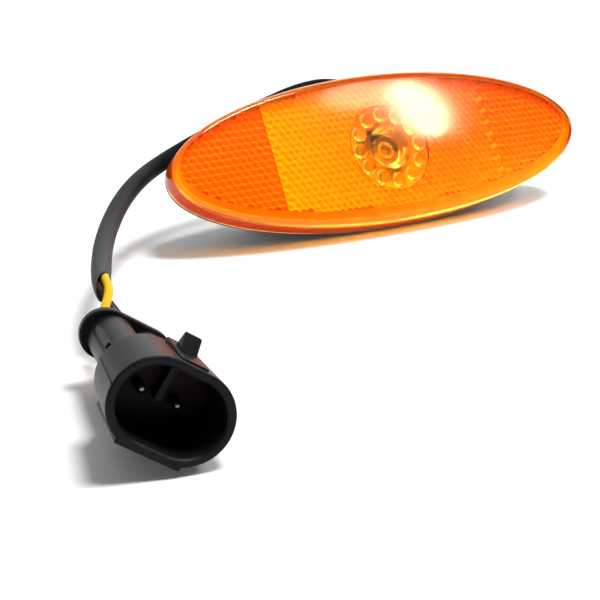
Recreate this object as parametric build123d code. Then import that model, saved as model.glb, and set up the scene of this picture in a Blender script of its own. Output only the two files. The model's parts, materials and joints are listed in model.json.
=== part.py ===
from build123d import *
from math import asin, atan2, cos, degrees, radians, sin, sqrt, tan
import os

# Oval amber side marker lamp on a short sleeved pigtail with a two-way sealed pin connector.
# Lengths in mm. Row frame: Z up, floor at Z = 0, X along the lens, the lens facing -Y and up.
# Lamp frame: X along the lens, Y across it, Z out of the lens; Z = 0 is the face that seats on the panel.
# Connector frame: X across the two ways, Y from the mouth to the wire end, Z toward the latch nib.

# lens
LENS_L = 112.0
LENS_W = 36.5
LENS_TOP = 10.0
LENS_WALL = 2.6
LENS_CEILING = 5.6
LENS_EDGE_R = 1.4
CROWN_LONG_R = 620.0
CROWN_CROSS_R = 160.0
ZONE_X = 30.5
ZONE_RIB_W = 1.0
ZONE_RIB_DROP = 0.9
OPTIC_R = 10.4
OPTIC_DROP = 0.5
PILLOW_COUNT = 12
PILLOW_RING_R = 8.2
PILLOW_R = 2.05
PILLOW_DROP = 1.2
COLLIMATOR_TOP_R = 5.4
COLLIMATOR_END_R = 3.4
COLLIMATOR_DROP = 3.6
DIMPLE_R = 2.0

# housing behind the lens
FLANGE_T = 1.6
FLANGE_INSET = 0.5
FLANGE_EDGE_R = 0.4
LIP_T = 1.2
LIP_H = 2.0
LIP_CLEAR = 0.15
BODY_L = 66.0
BODY_H = 18.0
BODY_DEPTH = 14.2
BODY_CORNER_R = 6.0
BODY_EDGE_R = 1.2
BODY_WALL = 2.0
BOSS_SPACING = 88.0
BOSS_D = 7.6
BOSS_REAR = 3.0
BOSS_TOP = 4.4
PILOT_D = 3.1
PILOT_DEPTH = 6.6

# circuit board and what is soldered to it
WIRE_D = 1.6
GROMMET_X = 12.0
GROMMET_Z = -7.4
BOARD_CLEAR = 0.4
BOARD_T = 1.6
STAKE_INSET = 7.0
STAKE_D = 2.2
STAKE_CLEAR = 0.1
STAKE_HEAD_D = 4.0
STAKE_HEAD_H = 0.8
POST_D = 5.6
LED_PITCH = 5.6
LED_SIZE = (3.5, 2.8, 1.2)
LED_DOME_R = 1.2
RESISTOR_SIZE = (6.3, 3.2, 0.7)
DIODE_INSET = 13.0
RECTIFIER_SIZE = (4.4, 2.7, 2.1)
SUPPRESSOR_SIZE = (4.6, 3.7, 2.3)
CAPACITOR_SIZE = (3.2, 2.5, 1.8)
CAPACITOR_Y = 4.4

# cord
SLEEVE_OD = 3.8
SLEEVE_ID = 3.3
WIRE_OFFSET = 0.82
WIRE_START_Y = -3.0
GROMMET_BODY_D = 6.4
GROMMET_FLANGE_D = 8.0
GROMMET_FLANGE_T = 1.4
GROMMET_NOSE_D = 5.4
GROMMET_NOSE_L = 2.6
ROUTE_RISE = ((GROMMET_X, 13.5), (GROMMET_X - 2.5, 18.0), (GROMMET_X - 9.0, 21.4))
ROUTE_ROW = (
    (-8.0, 18.4, 30.6),
    (-28.0, 15.8, 25.6),
    (-53.5, 8.6, 18.6),
    (-69.0, -10.6, 18.2),
    (-81.0, -29.6, 15.4),
    (-88.2, -46.7, 13.0),
)
WIRE_STRAIGHT = 5.0
WIRE_APPROACH = 3.5

# connector
PIN_PITCH = 6.2
SHROUD_W = 19.7
SHROUD_H = 14.6
SHROUD_LIFT = 0.4
SHROUD_LEN = 13.5
SHROUD_TAPER = 2.2
SHROUD_WALL = 1.4
SHROUD_EDGE_R = 0.8
RIM_R = 0.4
MOUTH_LEAD = 0.3
CAVITY_DEPTH = 12.4
CAVITY_TAPER = 1.0
NECK_R = 3.85
CONNECTOR_LEN = 36.5
END_FLANGE_W = 16.6
END_FLANGE_H = 8.8
END_FLANGE_T = 2.0
END_FLANGE_EDGE_R = 0.4
RAIL_W = 10.8
RAIL_Z = -7.0
RAIL_T = 1.5
RAIL_LEN = 16.0
RAIL_EDGE_R = 0.3
PAD_W = 4.4
PAD_TOP = 7.95
PAD_EDGE_R = 0.2
NIB_W = 2.8
NIB_EDGE_R = 0.25
NIB_PROFILE = ((5.5, 7.0), (9.7, 7.0), (8.7, 10.4), (7.9, 10.4))
NECK_RIB_Y = (20.0, 30.0)
NECK_RIB_Z = (0.8, 1.8)
NECK_RIB_PROUD = 0.45
PARTING_PROUD = 0.12
PARTING_T = 0.16
KEY_T = 1.0
KEY_LOW = -0.7
KEY_FRONT = 8.3
PIN_D = 1.5
PIN_TIP_Y = 7.6
PIN_CLEAR = 0.1
PIN_STOP_Y = 15.0
TERMINAL_D = 2.8
TERMINAL_END_Y = 26.0
SEAL_BORE_D = 6.0
SEAL_SEAT_Y = 27.0
SEAL_Y = (28.0, 34.0)
SEAL_RIB_H = 0.45
RETAINER_T = 1.4
RETAINER_LOW = -1.8
RETAINER_CLEAR = 0.1
CONNECTOR_AT = (-97.1, -99.1)
CONNECTOR_YAW = -10.6
CONNECTOR_PITCH = -4.0
CONNECTOR_ROLL = 34.0

# fits worked out from the values above
BOARD_BACK = GROMMET_Z + WIRE_D / 2
BOARD_FRONT = BOARD_BACK + BOARD_T
PIN_X = PIN_PITCH / 2
POCKET_FLOOR = -BODY_DEPTH + BODY_WALL
STAKE_X = BODY_L / 2 - STAKE_INSET
DIODE_X = BODY_L / 2 - DIODE_INSET
RESISTOR_X = (LED_PITCH + LED_SIZE[0] / 2 + DIODE_X - SUPPRESSOR_SIZE[0] / 2) / 2


def ellipse_block(half_l, half_w, z0, z1):
    return extrude(Pos(0, 0, z0) * Ellipse(half_l, half_w), z1 - z0)


def round_bar(d, z0, z1, x=0, y=0):
    return extrude(Pos(x, y, z0) * Circle(d / 2), z1 - z0)


def box_between(x, y, z):
    return Pos((x[0] + x[1]) / 2, (y[0] + y[1]) / 2, (z[0] + z[1]) / 2) * Box(
        x[1] - x[0], y[1] - y[0], z[1] - z[0]
    )


def crowned_block(half_l, half_w, z0, top):
    """Ellipse block under a crown: an arc across the lens turned about a far axis along Y."""
    reach = half_w + 1
    sag = CROWN_CROSS_R - sqrt(CROWN_CROSS_R**2 - reach**2)
    outline = ThreePointArc((-reach, top - sag), (0, top), (reach, top - sag)) + Polyline(
        (reach, top - sag), (reach, z0 - 8), (-reach, z0 - 8), (-reach, top - sag)
    )
    axis = Axis((0, 0, top - CROWN_LONG_R), (0, 1, 0))
    spread = 2 * degrees(asin((half_l + 6) / CROWN_LONG_R))
    crown = revolve(make_face(Plane.YZ * outline), axis, spread).rotate(axis, -spread / 2)
    return ellipse_block(half_l, half_w, z0, top + 1) & crown


def make_lens():
    lens = crowned_block(LENS_L / 2, LENS_W / 2, FLANGE_T, LENS_TOP)
    lens = fillet(lens.faces().sort_by(Axis.Z)[-1].edges(), LENS_EDGE_R)
    inner_l, inner_w = LENS_L / 2 - LENS_WALL, LENS_W / 2 - LENS_WALL
    lens -= ellipse_block(inner_l, inner_w, FLANGE_T, LENS_CEILING)
    reach = ellipse_block(inner_l + LENS_WALL / 2, inner_w + LENS_WALL / 2, FLANGE_T, LENS_CEILING + 0.5)
    for side in (-1, 1):
        width = (side * ZONE_X - ZONE_RIB_W / 2, side * ZONE_X + ZONE_RIB_W / 2)
        drop = (LENS_CEILING - ZONE_RIB_DROP, LENS_CEILING + 0.5)
        lens += box_between(width, (-LENS_W / 2, LENS_W / 2), drop) & reach
    face = LENS_CEILING - OPTIC_DROP
    optic = round_bar(2 * OPTIC_R, face, LENS_CEILING + 0.5)
    for k in range(PILLOW_COUNT):
        spot = Rot(0, 0, 360 / PILLOW_COUNT * k) * Pos(PILLOW_RING_R, 0, face - PILLOW_DROP + PILLOW_R)
        optic += spot * Sphere(PILLOW_R) & round_bar(4 * OPTIC_R, face - PILLOW_R, face + 0.2)
    horn = Cone(COLLIMATOR_END_R, COLLIMATOR_TOP_R, COLLIMATOR_DROP)
    optic += Pos(0, 0, face - COLLIMATOR_DROP / 2) * horn
    optic -= Pos(0, 0, face - COLLIMATOR_DROP) * Sphere(DIMPLE_R)
    return lens + optic


def make_housing():
    half_l, half_w = LENS_L / 2 - FLANGE_INSET, LENS_W / 2 - FLANGE_INSET
    plate = ellipse_block(half_l, half_w, 0, FLANGE_T)
    plate = fillet(plate.faces().sort_by(Axis.Z)[0].edges(), FLANGE_EDGE_R)
    body = extrude(RectangleRounded(BODY_L, BODY_H, BODY_CORNER_R), -BODY_DEPTH)
    body = fillet(body.faces().sort_by(Axis.Z)[0].edges(), BODY_EDGE_R)
    lip_l = LENS_L / 2 - LENS_WALL - LIP_CLEAR
    lip_w = LENS_W / 2 - LENS_WALL - LIP_CLEAR
    lip = ellipse_block(lip_l, lip_w, FLANGE_T, FLANGE_T + LIP_H)
    lip -= ellipse_block(lip_l - LIP_T, lip_w - LIP_T, FLANGE_T, FLANGE_T + LIP_H)
    pocket = extrude(
        Pos(0, 0, POCKET_FLOOR)
        * RectangleRounded(BODY_L - 2 * BODY_WALL, BODY_H - 2 * BODY_WALL, BODY_CORNER_R - BODY_WALL),
        FLANGE_T - POCKET_FLOOR,
    )
    housing = plate + body + lip - pocket
    for side in (-1, 1):
        x = side * BOSS_SPACING / 2
        housing += round_bar(BOSS_D, -BOSS_REAR, BOSS_TOP, x)
        housing -= round_bar(PILOT_D, -BOSS_REAR, PILOT_DEPTH - BOSS_REAR, x)
        x = side * STAKE_X
        housing += round_bar(POST_D, POCKET_FLOOR, BOARD_BACK, x)
        housing += round_bar(STAKE_D, BOARD_BACK, BOARD_FRONT + STAKE_HEAD_H, x)
        head = round_bar(STAKE_HEAD_D, BOARD_FRONT, BOARD_FRONT + STAKE_HEAD_H, x)
        housing += fillet(head.faces().sort_by(Axis.Z)[-1].edges(), 0.6 * STAKE_HEAD_H)
    wall = (BODY_H / 2 - BODY_WALL, BODY_H / 2)
    return housing - across(Circle(GROMMET_BODY_D / 2), wall[0], wall[1])


def across(sketch, y0, y1):
    """Extrude a sketch along the grommet's axis, from y0 to y1 of the lamp frame."""
    seat = Plane((GROMMET_X, y0, GROMMET_Z), x_dir=(1, 0, 0), z_dir=(0, 1, 0))
    return extrude(seat * sketch, y1 - y0)


def make_grommet():
    inner, outer = BODY_H / 2 - BODY_WALL, BODY_H / 2
    face = outer + GROMMET_FLANGE_T
    grommet = across(Circle(GROMMET_BODY_D / 2), inner, outer)
    grommet += across(Circle(GROMMET_FLANGE_D / 2), outer, face)
    grommet += across(Circle(GROMMET_NOSE_D / 2), face, face + GROMMET_NOSE_L)
    grommet = fillet(grommet.edges().filter_by(GeomType.CIRCLE).sort_by(Axis.Y)[-1:], 0.4)
    return grommet - across(Circle(SLEEVE_OD / 2), inner, face + GROMMET_NOSE_L)


def make_board():
    margin = 2 * (BODY_WALL + BOARD_CLEAR)
    outline = RectangleRounded(BODY_L - margin, BODY_H - margin, BODY_CORNER_R - margin / 2)
    for side in (-1, 1):
        outline -= Pos(side * STAKE_X, 0) * Circle(STAKE_D / 2 + STAKE_CLEAR)
    return extrude(Pos(0, 0, BOARD_BACK) * outline, BOARD_T)


def chip(size, x, y=0, cap=0.45):
    """A chip part on the board's front face: a body between two plated ends a little thicker than it."""
    length, width, height = size
    body = Pos(x, y, BOARD_FRONT + height / 2) * Box(length - 2 * cap, width - 0.1, height - 0.1)
    for side in (-1, 1):
        end = Pos(x + side * (length - cap) / 2, y, BOARD_FRONT + height / 2) * Box(cap, width, height)
        body += end
    return body


def moulded_part(size, x, y=0):
    """A moulded diode: a bevelled body over two leads that fold under its ends."""
    length, width, height = size
    body = Pos(x, y, BOARD_FRONT + 0.15 + (height - 0.15) / 2) * Box(length, width, height - 0.15)
    body = chamfer(body.faces().sort_by(Axis.Z)[-1].edges(), 0.3)
    for side in (-1, 1):
        body += Pos(x + side * length / 2, y, BOARD_FRONT + height / 4) * Box(0.5, width / 2, height / 2)
    return body


def make_led(x):
    length, width, height = LED_SIZE
    base = Pos(x, 0, BOARD_FRONT + height / 2) * Box(length, width, height)
    base = chamfer(base.edges().filter_by(Axis.Z).sort_by(Axis.X)[-1:], 0.5)
    dome = Pos(x, 0, BOARD_FRONT + height) * Sphere(LED_DOME_R)
    return base + (dome & box_between((x - 3, x + 3), (-3, 3), (BOARD_FRONT + 0.5, BOARD_FRONT + 4)))


def axial(sketch, y0, length, taper=0.0):
    """Extrude a sketch along the connector's axis from y0 toward the wire end."""
    return extrude(Plane((0, y0, 0), x_dir=(1, 0, 0), z_dir=(0, 1, 0)) * sketch, length, taper=taper)


def way(diameter, y0, y1, side):
    return axial(Pos(side * PIN_X, 0) * Circle(diameter / 2), y0, y1 - y0)


def mouth_slot(inset=0.0):
    """Stadium of the mouth, its middle a little over the pins; the sketch's Y axis points down."""
    return Pos(0, -SHROUD_LIFT) * SlotOverall(SHROUD_W - 2 * inset, SHROUD_H - 2 * inset)


def rounded_box(x, y, z, radius):
    return fillet(box_between(x, y, z).edges(), radius)


def make_connector_housing():
    shroud = axial(mouth_slot(), 0, SHROUD_LEN, SHROUD_TAPER)
    shroud = fillet(shroud.faces().sort_by(Axis.Y)[-1].edges(), SHROUD_EDGE_R)
    shroud = fillet(shroud.faces().sort_by(Axis.Y)[0].edges(), RIM_R)
    narrow = SHROUD_LEN * tan(radians(SHROUD_TAPER))
    seam = Polygon(
        (-SHROUD_W / 2 - PARTING_PROUD, 0.6),
        (SHROUD_W / 2 + PARTING_PROUD, 0.6),
        (SHROUD_W / 2 - narrow + PARTING_PROUD, SHROUD_LEN - 0.3),
        (-SHROUD_W / 2 + narrow - PARTING_PROUD, SHROUD_LEN - 0.3),
        align=None,
    )
    flange_y = CONNECTOR_LEN - END_FLANGE_T
    flange = axial(SlotOverall(END_FLANGE_W, END_FLANGE_H), flange_y, END_FLANGE_T)
    for face in (0, -1):
        flange = fillet(flange.faces().sort_by(Axis.Y)[face].edges(), END_FLANGE_EDGE_R)
    half = PIN_X + NECK_R
    body = shroud + flange + extrude(Pos(0, 0, SHROUD_LIFT - PARTING_T / 2) * seam, PARTING_T)
    for side in (-1, 1):
        body += way(2 * NECK_R, SHROUD_LEN - 0.5, flange_y + 0.5, side)
        near = sorted((side * (half - 1.2), side * (half - 0.1 + NECK_RIB_PROUD)))
        body += box_between(near, NECK_RIB_Y, NECK_RIB_Z)
    body += box_between(
        (-half - PARTING_PROUD, half + PARTING_PROUD), (SHROUD_LEN, flange_y), (-PARTING_T / 2, PARTING_T / 2)
    )
    body += rounded_box((-RAIL_W / 2, RAIL_W / 2), (0, RAIL_LEN), (RAIL_Z, RAIL_Z + RAIL_T), RAIL_EDGE_R)
    body += box_between((-PIN_X, PIN_X), (SHROUD_LEN - 1, RAIL_LEN), (RAIL_Z + RAIL_T - 0.2, -NECK_R + 0.6))
    pad_z = (PAD_TOP - 2.0, PAD_TOP)
    body += rounded_box((-PAD_W / 2, PAD_W / 2), (1.4, SHROUD_LEN - 1.2), pad_z, PAD_EDGE_R)
    nib = extrude(Plane.YZ * Polygon(*NIB_PROFILE, align=None), NIB_W / 2, both=True)
    body += fillet(nib.edges(), NIB_EDGE_R)
    cavity = axial(mouth_slot(SHROUD_WALL), 0, CAVITY_DEPTH, CAVITY_TAPER)
    body -= cavity + axial(mouth_slot(SHROUD_WALL - MOUTH_LEAD), 0, MOUTH_LEAD, 45)
    body += cavity & box_between((-KEY_T / 2, KEY_T / 2), (KEY_FRONT, CAVITY_DEPTH), (KEY_LOW, SHROUD_H))
    for side in (-1, 1):
        body -= way(PIN_D + 2 * PIN_CLEAR, CAVITY_DEPTH, PIN_STOP_Y, side)
        body -= way(TERMINAL_D + 2 * PIN_CLEAR, PIN_STOP_Y, SEAL_SEAT_Y, side)
        body -= way(SEAL_BORE_D, SEAL_SEAT_Y, CONNECTOR_LEN, side)
    return body


def make_retainer():
    shrink = CAVITY_DEPTH * tan(radians(CAVITY_TAPER)) + RETAINER_CLEAR
    plate = axial(mouth_slot(SHROUD_WALL + shrink), CAVITY_DEPTH - RETAINER_T, RETAINER_T)
    plate &= box_between((-SHROUD_W, SHROUD_W), (0, CAVITY_DEPTH), (RETAINER_LOW, SHROUD_H))
    key = KEY_T / 2 + RETAINER_CLEAR
    plate -= box_between((-key, key), (0, CAVITY_DEPTH), (KEY_LOW - RETAINER_CLEAR, SHROUD_H))
    for side in (-1, 1):
        plate -= way(PIN_D + 2 * PIN_CLEAR, 0, CAVITY_DEPTH, side)
    return plate


def make_pin(side):
    pin = way(PIN_D, PIN_TIP_Y, PIN_STOP_Y + 0.5, side)
    pin = fillet(pin.faces().sort_by(Axis.Y)[0].edges(), 0.42 * PIN_D)
    return pin + way(TERMINAL_D, PIN_STOP_Y, TERMINAL_END_Y, side)


def make_wire_seal(side):
    y0, y1 = SEAL_Y
    step = (y1 - y0) / 6
    seal = way(SEAL_BORE_D - 2 * SEAL_RIB_H, y0, y1, side)
    for k in (0, 2, 4):
        rib = way(SEAL_BORE_D, y0 + step * (k + 0.5), y0 + step * (k + 1.5), side)
        seal += rib
    return seal - way(WIRE_D, y0, y1, side)


def arc_radii(points):
    """Radius of the arc at each corner, which takes 0.45 of the shorter run beside it."""
    radii = []
    for a, b, c in zip(points, points[1:], points[2:]):
        turn = radians((b - a).get_angle(c - b))
        radii.append(0.45 * min((b - a).length, (c - b).length) / tan(turn / 2))
    return radii


def beside(points, radii, normal, offset):
    """Shift a route sideways by a normal that turns with it and never twists, on concentric arcs."""
    moved, shifted = [points[0] + normal * offset], []
    for a, b, c, radius in zip(points, points[1:], points[2:], radii):
        before, after = (b - a).normalized(), (c - b).normalized()
        hinge = before.cross(after).normalized()
        half_turn = radians(before.get_angle(after)) / 2
        lift, side = normal.dot(hinge), normal.dot(hinge.cross(before))
        moved.append(b + (hinge * lift + (hinge.cross(before) - before * tan(half_turn)) * side) * offset)
        shifted.append(radius - side * offset)
        normal = hinge * lift + hinge.cross(after) * side
    return moved + [points[-1] + normal * offset], shifted


def tube(points, radii, outside, inside, label):
    path = FilletPolyline(*points, radius=radii)
    ring = Circle(outside / 2) if inside == 0 else Circle(outside / 2) - Circle(inside / 2)
    solid = sweep(Plane(path @ 0, x_dir=(1, 0, 0), z_dir=path % 0) * ring, path=path)
    share = solid.volume / (ring.area * path.length)
    print(label, "radii", [round(r, 1) for r in radii], "length", round(path.length, 1))
    print(label, "volume over section times length", round(share, 4))
    return solid


# the lamp leans back on the flange's lower edge and the lower back edge of its body
near = Vector(-LENS_W / 2 + FLANGE_INSET + FLANGE_EDGE_R, FLANGE_EDGE_R)
back = Vector(-BODY_H / 2 + BODY_EDGE_R, -BODY_DEPTH + BODY_EDGE_R)
span = back - near
LEAN = degrees(-atan2(span.Y, span.X) + asin((BODY_EDGE_R - FLANGE_EDGE_R) / span.length))
rise = FLANGE_EDGE_R - near.X * sin(radians(LEAN)) - near.Y * cos(radians(LEAN))

lamp_parts = {
    "lens": make_lens(),
    "housing": make_housing(),
    "circuit_board": make_board(),
    "led_left": make_led(-LED_PITCH),
    "led_centre": make_led(0),
    "led_right": make_led(LED_PITCH),
    "resistor_left": chip(RESISTOR_SIZE, -RESISTOR_X),
    "resistor_right": chip(RESISTOR_SIZE, RESISTOR_X),
    "capacitor": chip(CAPACITOR_SIZE, 0, CAPACITOR_Y),
    "rectifier_diode": moulded_part(RECTIFIER_SIZE, -DIODE_X),
    "surge_suppressor": moulded_part(SUPPRESSOR_SIZE, DIODE_X),
    "cable_grommet": make_grommet(),
}
leaned = Compound([Rot(LEAN, 0, 0) * lamp_parts[name] for name in ("lens", "housing")]).bounding_box()
LAMP = Pos(0, -(leaned.min.Y + leaned.max.Y) / 2, rise) * Rot(LEAN, 0, 0)

# the connector lies on the rounded right rear corner of its rail
turned = Rot(0, 0, CONNECTOR_YAW) * Rot(CONNECTOR_PITCH, 0, 0) * Rot(0, CONNECTOR_ROLL, 0)
rail_corner = Pos(RAIL_W / 2 - RAIL_EDGE_R, RAIL_LEN - RAIL_EDGE_R, RAIL_Z + RAIL_EDGE_R)
rail_low = (turned * rail_corner).position.Z - RAIL_EDGE_R
CONNECTOR = Pos(*CONNECTOR_AT, -rail_low) * turned


def in_lamp(x, y, z):
    return (LAMP * Pos(x, y, z)).position


def in_connector(x, y, z):
    return (CONNECTOR * Pos(x, y, z)).position


climb = [in_lamp(x, y, GROMMET_Z) for x, y in ROUTE_RISE]
run_out = [Vector(*p) for p in ROUTE_ROW]
sleeve_route = [in_lamp(GROMMET_X, BODY_H / 2 - BODY_WALL, GROMMET_Z)] + climb + run_out
sleeve_radii = arc_radii(sleeve_route)
last_run = (run_out[-1] - run_out[-2]).normalized()
wire_route = [in_lamp(GROMMET_X, WIRE_START_Y, GROMMET_Z)] + sleeve_route[1:-1]
wire_route += [run_out[-1] + last_run * WIRE_STRAIGHT]


def make_wire(side, label):
    """A wire beside its twin in the sleeve, then on to its own way of the connector."""
    pair, radii = beside(wire_route, sleeve_radii, Vector(1, 0, 0), -side * WIRE_OFFSET)
    entry = in_connector(side * PIN_X, CONNECTOR_LEN + WIRE_APPROACH, 0)
    end = in_connector(side * PIN_X, TERMINAL_END_Y, 0)
    fan_out = arc_radii([pair[-2], pair[-1], entry, end])
    return tube(pair + [entry, end], radii + fan_out, WIRE_D, 0, label)


nodes = {name: LAMP * shape for name, shape in lamp_parts.items()}
nodes["cable_sleeve"] = tube(sleeve_route, sleeve_radii, SLEEVE_OD, SLEEVE_ID, "cable_sleeve")
nodes["yellow_wire"] = make_wire(-1, "yellow_wire")
nodes["brown_wire"] = make_wire(1, "brown_wire")
nodes["connector_housing"] = CONNECTOR * make_connector_housing()
nodes["pin_retainer"] = CONNECTOR * make_retainer()
nodes["pin_left"] = CONNECTOR * make_pin(-1)
nodes["pin_right"] = CONNECTOR * make_pin(1)
nodes["wire_seal_left"] = CONNECTOR * make_wire_seal(-1)
nodes["wire_seal_right"] = CONNECTOR * make_wire_seal(1)

os.makedirs("parts", exist_ok=True)
for name, shape in nodes.items():
    export_step(shape, f"parts/{name}.step")
print("lean", round(LEAN, 3), "lamp", LAMP, "connector", CONNECTOR)
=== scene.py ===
"""Dresses the side marker lamp: amber reflex lens, sleeved pigtail and sealed two-way connector."""

import json

import bpy
import numpy as np
from mathutils import Matrix, Vector


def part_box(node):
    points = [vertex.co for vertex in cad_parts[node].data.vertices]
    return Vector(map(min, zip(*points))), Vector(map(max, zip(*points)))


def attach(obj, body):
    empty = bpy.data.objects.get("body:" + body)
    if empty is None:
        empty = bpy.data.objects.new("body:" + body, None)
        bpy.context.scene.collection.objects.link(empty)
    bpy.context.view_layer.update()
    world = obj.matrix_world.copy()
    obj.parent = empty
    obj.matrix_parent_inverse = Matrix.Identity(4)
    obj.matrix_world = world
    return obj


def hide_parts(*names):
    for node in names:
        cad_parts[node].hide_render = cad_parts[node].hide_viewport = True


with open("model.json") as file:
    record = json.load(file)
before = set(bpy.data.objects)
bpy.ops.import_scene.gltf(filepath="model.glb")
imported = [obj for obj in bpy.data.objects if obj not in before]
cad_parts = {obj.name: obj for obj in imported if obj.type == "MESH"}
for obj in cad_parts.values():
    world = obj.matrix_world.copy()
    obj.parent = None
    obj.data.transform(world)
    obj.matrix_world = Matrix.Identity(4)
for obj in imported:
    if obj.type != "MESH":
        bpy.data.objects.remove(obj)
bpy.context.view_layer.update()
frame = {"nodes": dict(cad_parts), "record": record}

bl_info = {
    "name": "Side marker lamp",
    "version": (1, 0, 0),
    "blender": (4, 5, 0),
    "location": "View3D > Sidebar > Lamp",
    "description": "Builds the lens, reflex prisms, cord and finishes of a side marker lamp",
    "category": "Object",
}

MM = 0.001
MOUNTS = {mount["name"]: mount for mount in frame["record"]["mounts"]}

# lamp frame: X along the lens, Y across it, Z out of the lens; its origin is on the seat face
LAMP_Z = -np.array(MOUNTS["seat_face"]["axis"])
LAMP_X = np.array((1.0, 0.0, 0.0))
LAMP_AXES = np.array((LAMP_X, np.cross(LAMP_Z, LAMP_X), LAMP_Z))
LAMP_ORIGIN = np.array(MOUNTS["seat_face"]["pos_m"]) * (0, 1, 1)

# across the connector's two ways, from the left seal to the right one
PLUG_X = np.mean(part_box("wire_seal_right"), axis=0) - np.mean(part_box("wire_seal_left"), axis=0)
PLUG_X /= np.linalg.norm(PLUG_X)

# control points of the wire pair, from the board through the sleeve to the terminals
PAIR_ROUTE = np.array((
    (12.0, 4.92, 8.26),
    (12.0, 10.32, 16.68),
    (12.0, 13.83, 22.15),
    (9.5, 16.26, 25.94),
    (3.0, 18.10, 28.80),
    (-8.0, 18.4, 30.6),
    (-28.0, 15.8, 25.6),
    (-53.5, 8.6, 18.6),
    (-69.0, -10.6, 18.2),
    (-81.0, -29.6, 15.4),
    (-88.2, -46.7, 13.0),
    (-88.9, -51.2, 12.6),
    (-89.8, -59.9, 7.0),
    (-90.4, -63.3, 7.2),
    (-92.3, -73.6, 8.0),
)) * MM
SLEEVE_START = PAIR_ROUTE[1]
SLEEVE_END = np.array((-89.0, -49.4, 12.6)) * MM
WAY_ENTRY = PAIR_ROUTE[12]


def length(name, description, default):
    """A length property in metres."""
    return bpy.props.FloatProperty(name=name, description=description, default=default, unit="LENGTH")


def colour(name, description, default):
    """A colour property in linear values."""
    return bpy.props.FloatVectorProperty(
        name=name, description=description, default=default, size=3, min=0, max=1, subtype="COLOR")


class LampSizes(bpy.types.PropertyGroup):
    """Lengths of the lens, its prisms and the cord."""

    lens_length: length("Lens length", "Long axis of the lens oval", 0.112)
    lens_width: length("Lens width", "Short axis of the lens oval", 0.0365)
    lens_top: length("Lens top", "Height of the crown over the seat face", 0.010)
    lens_foot: length("Lens foot", "Height of the lens rim over the seat face", 0.0017)
    lens_wall: length("Lens wall", "Thickness of the clear side wall", 0.0010)
    ceiling: length("Ceiling", "Height of the lens inner face", 0.0056)
    edge_radius: length("Edge radius", "Round between crown and wall", 0.0014)
    crown_long: length("Crown radius along", "Arc of the crown along the lens", 0.620)
    crown_cross: length("Crown radius across", "Arc of the crown across the lens", 0.160)
    optic_radius: length("Optic radius", "Round optic over the light source", 0.0104)
    seam_x: length("Seam place", "Distance of the two zone seams from the middle", 0.0306)
    prism_pitch: length("Prism pitch", "Width of a reflex prism across its flats", 0.0018)
    prism_depth: length("Prism depth", "Depth of a reflex prism", 0.0006)
    border: length("Clear border", "Mean width of the rim without prisms", 0.0027)
    field_shift: length("Field shift", "How far the prisms sit towards the upper edge", 0.0013)
    sleeve_outside: length("Sleeve outside", "Outside diameter of the sleeve", 0.0038)
    sleeve_inside: length("Sleeve inside", "Bore of the sleeve", 0.0033)
    wire: length("Wire", "Outside diameter of a wire", 0.0016)
    wire_offset: length("Wire offset", "Distance of a wire from the middle of the sleeve", 0.00082)
    way_offset: length("Way offset", "Distance of a way from the middle of the connector", 0.0031)


class LampColours(bpy.types.PropertyGroup):
    """Base colours of the finishes; the prism and backing tones are painted light and shade, and the lens
    wall, sleeve end, retainer and tin tones partly so.
    """

    lens: colour("Lens", "Tint of the clear amber moulding", (1.0, 0.49, 0.03))
    # partly painted shade: the wall tint is deeper where the acrylic edge is thick, and darker to shade the
    # wall
    lens_wall: colour("Lens wall", "Tint along the edge of the moulding", (0.92, 0.36, 0.010))
    # painted light: deep and bright prisms are one amber, shaded in the outer zones and lit in the middle
    # zone
    prism_shaded_deep: colour("Deep prisms", "Prisms of the outer zones", (1.0, 0.26, 0.01))
    prism_lit_bright: colour("Bright prisms", "Prisms of the middle zone", (1.0, 0.76, 0.03))
    # painted shade: the low and high backing are one amber, shaded along the lower edge and lit along the
    # upper one
    backing_low_shaded: colour("Low backing", "Backing of the border along the lower edge", (0.85, 0.16, 0.004))
    backing_high_lit: colour("High backing", "Backing of the border along the upper edge", (1.0, 0.44, 0.010))
    plastic: colour("Black plastic", "Connector and housing mouldings", (0.0050, 0.0054, 0.0068))
    sleeve: colour("Sleeve", "Soft sleeve around the wires", (0.006, 0.0065, 0.0085))
    # partly painted sheen: the paler tone towards the sleeve's cut end
    sleeve_end_sheen: colour("Sleeve end", "The sleeve towards its cut end", (0.080, 0.081, 0.086))
    yellow: colour("Yellow wire", "Insulation of the first wire", (0.88, 0.52, 0.010))
    brown: colour("Brown wire", "Insulation of the second wire", (0.030, 0.018, 0.013))
    # partly painted shade: the retainer and tin tones are darker than a brown-red moulding and plated tin,
    # for the shade deep in the connector's mouth
    retainer: colour("Retainer", "Insert around the pins", (0.016, 0.005, 0.004))
    tin: colour("Tin", "Dull plated pins", (0.17, 0.165, 0.16))
    rubber: colour("Rubber", "Grommet and wire seals", (0.026, 0.026, 0.027))
    board: colour("Board", "Solder mask of the circuit board", (0.80, 0.80, 0.76))
    floor: colour("Floor", "Studio floor", (0.97, 0.97, 0.97))


def sizes():
    """The lengths kept with the scene."""
    return bpy.context.scene.lamp_sizes


def colours():
    """The colours kept with the scene."""
    return bpy.context.scene.lamp_colours


def in_lamp(points):
    """Row-frame place of points given in the lamp frame."""
    return LAMP_ORIGIN + points @ LAMP_AXES


def grid_quads(rows, columns, close_rows):
    """Quads of a grid of rows by columns, whose columns run round and whose rows may too."""
    last = rows if close_rows else rows - 1
    i, j = np.meshgrid(np.arange(last), np.arange(columns), indexing="ij")
    up, right = (i + 1) % rows, (j + 1) % columns
    quads = (i * columns + j, i * columns + right, up * columns + right, up * columns + j)
    return np.stack(quads, axis=-1).reshape(-1, 4)


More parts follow.
